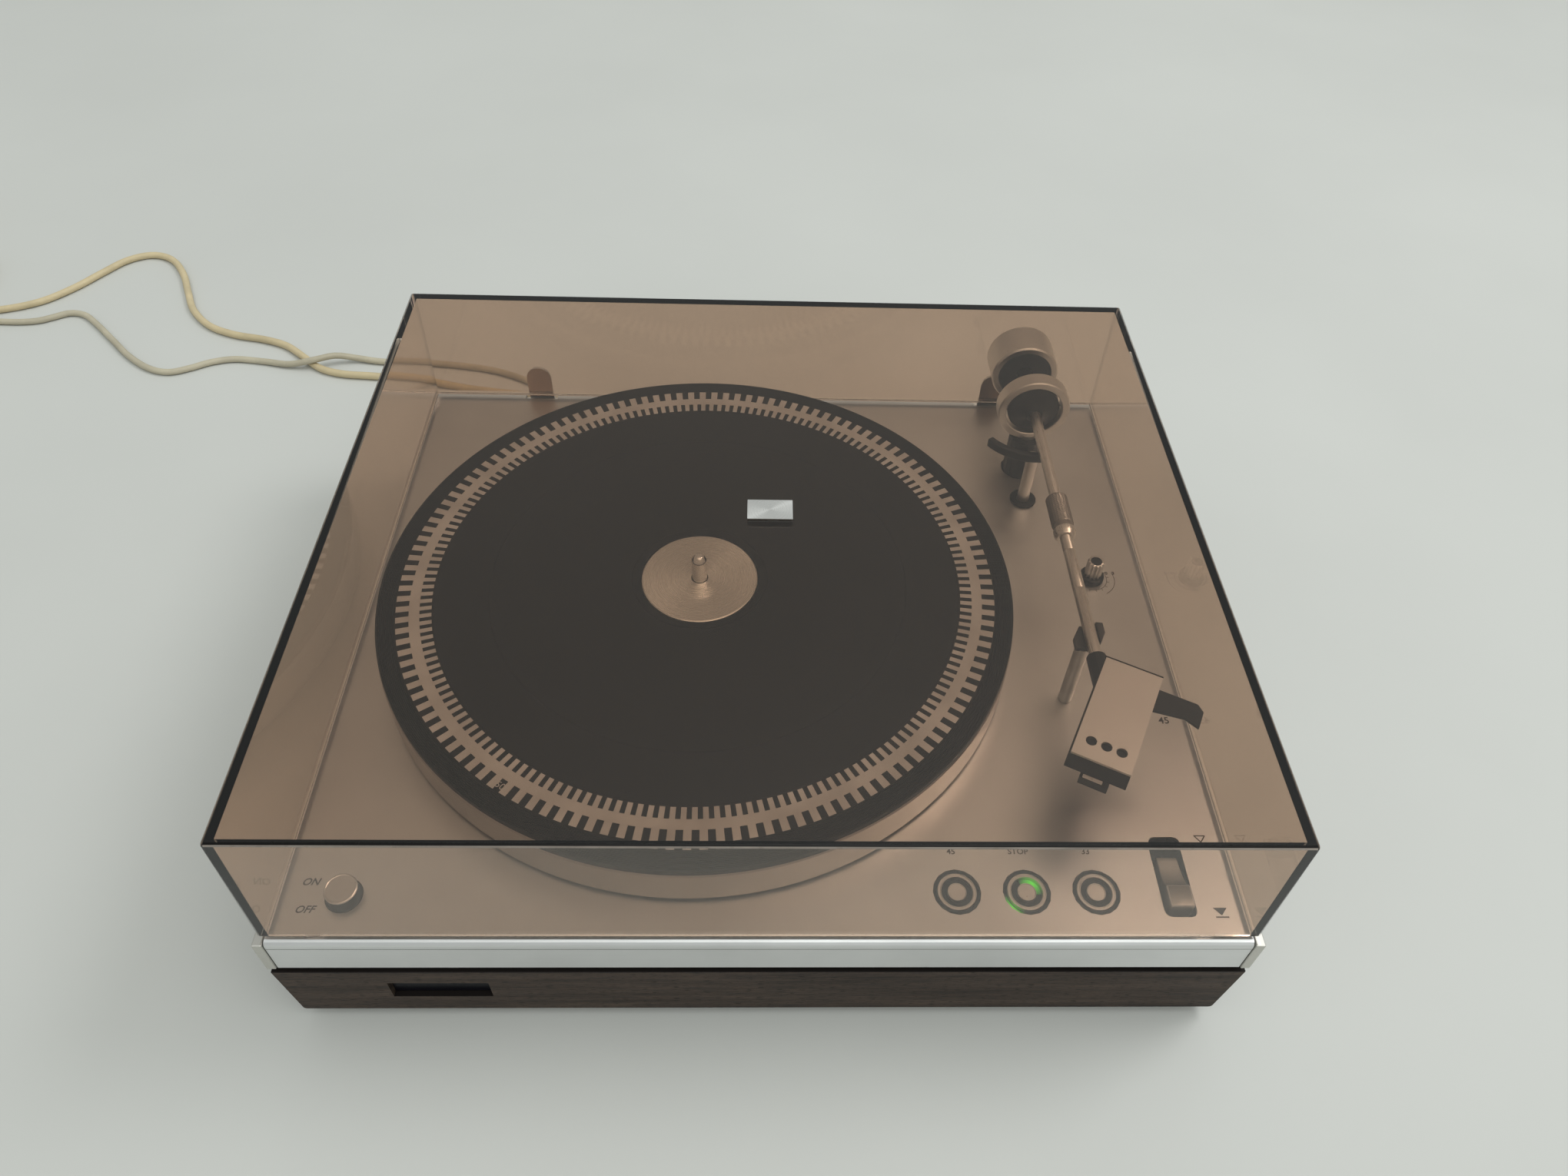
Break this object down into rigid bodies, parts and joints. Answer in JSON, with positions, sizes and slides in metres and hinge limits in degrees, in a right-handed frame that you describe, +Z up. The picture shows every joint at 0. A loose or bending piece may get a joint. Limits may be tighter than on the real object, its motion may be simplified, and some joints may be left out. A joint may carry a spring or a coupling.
{
  "type": "belt drive turntable",
  "caption": "Belt drive turntable with a hinged see-through dust cover, straight tonearm, touch speed controls and a dark wooden plinth.",
  "frame": {"origin": "middle of the case, on the surface that its feet stand on", "axes": "+Z up, -Y to the front where the controls are, +X to the right of someone facing the front, the side of the tonearm"},
  "size_m": [0.8673, 0.6563, 0.1409],
  "materials": {
    "wood": "satin dark veneer",
    "hardboard": "matte",
    "rubber": "matte",
    "brushed_aluminium": "brushed",
    "satin_aluminium": "satin",
    "steel": "satin",
    "chrome": "polished",
    "brass": "satin",
    "black_plastic": "matte",
    "grey_plastic": "satin",
    "black_metal": "satin",
    "smoked_acrylic": "clear, smoked brown",
    "circuit": "satin",
    "cream_cord": "satin",
    "grey_cord": "satin"
  },
  "bodies": {
    "case": {"plinth_frame": "wood", "base_board": "hardboard", "foot_front_left": "rubber", "foot_front_right": "rubber", "foot_rear_left": "rubber", "foot_rear_right": "rubber", "deck_plate": "brushed_aluminium", "side_trim_left": "satin_aluminium", "side_trim_right": "satin_aluminium", "rear_rail": "black_plastic", "plinth_badge": "brushed_aluminium", "motor": "steel", "transformer": "steel", "circuit_board": "circuit", "mains_switch": "black_plastic", "touch_panel": "black_plastic", "touch_ring_45": "chrome", "touch_ring_stop": "chrome", "touch_ring_33": "chrome", "touch_contact_45": "satin_aluminium", "touch_contact_stop": "satin_aluminium", "touch_contact_33": "satin_aluminium", "subchassis": "steel", "suspension_spring_left": "steel", "suspension_spring_rear": "steel", "suspension_spring_front": "steel", "arm_column": "black_metal", "lift_sleeve": "black_plastic", "arm_rest": "black_plastic", "cue_slot_liner": "black_plastic", "drive_belt": "rubber", "mains_strain_relief": "cream_cord", "mains_cord": "cream_cord", "mains_coil": "cream_cord", "mains_plug": "cream_cord", "audio_gland": "black_plastic", "audio_cord": "grey_cord", "audio_coil": "grey_cord", "audio_plug": "black_plastic"},
    "platter": {"sub_platter": "black_plastic", "spindle": "chrome", "platter": "satin_aluminium", "platter_mat": "rubber", "centre_disc": "brushed_aluminium"},
    "motor_pulley": {"motor_pulley": "brass"},
    "cover": {"dust_cover": "smoked_acrylic", "hinge_leaf_left": "chrome", "hinge_leaf_right": "chrome", "lid_badge": "brushed_aluminium"},
    "arm_swing": {"bearing_ring": "satin_aluminium"},
    "arm": {"arm_tube": "satin_aluminium", "headshell": "black_plastic", "headshell_plate": "satin_aluminium", "cartridge": "black_plastic"},
    "counterweight": {"counterweight": "satin_aluminium"},
    "tracking_weight": {"tracking_weight": "satin_aluminium"},
    "arm_lift": {"arm_lift": "black_metal"},
    "cue_lever": {"cue_lever": "satin_aluminium"},
    "anti_skate_knob": {"anti_skate_knob": "satin_aluminium"},
    "power_button": {"power_button": "satin_aluminium"}
  },
  "joints": [
    {"name": "platter_spin", "type": "hinge", "parent": "case", "child": "platter", "pos_m": [-0.0325, 0.0015, 0.0882], "axis": [0, 0, -1], "continuous": true},
    {"name": "pulley_spin", "type": "hinge", "parent": "case", "child": "motor_pulley", "pos_m": [-0.11594, -0.08194, 0.0798], "axis": [0, 0, -1], "continuous": true},
    {"name": "cover_hinge", "type": "hinge", "parent": "case", "child": "cover", "pos_m": [0, 0.1665, 0.0632], "axis": [-1, 0, 0], "range_deg": [0, 65]},
    {"name": "arm_swing", "type": "hinge", "parent": "case", "child": "arm_swing", "pos_m": [0.1418, 0.1095, 0.112], "axis": [0, 0, -1], "range_deg": [0, 41]},
    {"name": "arm_tilt", "type": "hinge", "parent": "arm_swing", "child": "arm", "pos_m": [0.1418, 0.1095, 0.112], "axis": [-1, 0, 0], "range_deg": [0, 4.5]},
    {"name": "counterweight_slide", "type": "slide", "parent": "arm", "child": "counterweight", "axis": [0, -1, 0], "range_m": [0, 0.008]},
    {"name": "tracking_weight_slide", "type": "slide", "parent": "arm", "child": "tracking_weight", "axis": [0, -1, 0], "range_m": [0, 0.024]},
    {"name": "cue_lever_hinge", "type": "hinge", "parent": "case", "child": "cue_lever", "pos_m": [0.1678, -0.1386, 0.0468], "axis": [-1, 0, 0], "range_deg": [0, 40]},
    {"name": "arm_lift_slide", "type": "slide", "parent": "case", "child": "arm_lift", "axis": [0, 0, 1], "range_m": [0, 0.005]},
    {"name": "anti_skate_dial", "type": "hinge", "parent": "case", "child": "anti_skate_knob", "pos_m": [0.1665, 0.0254, 0.0686], "axis": [0, 0, -1], "range_deg": [0, 180]},
    {"name": "power_button_press", "type": "slide", "parent": "case", "child": "power_button", "axis": [0, 0, -1], "range_m": [0, 0.003], "stiffness_N_per_m": 400, "springref_m": -0.001}
  ],
  "couplings": [
    {"joint": "pulley_spin", "follows": "platter_spin", "ratio": 8.463},
    {"joint": "cue_lever_hinge", "follows": "arm_lift_slide", "rad_per_m": 139.6}
  ]
}
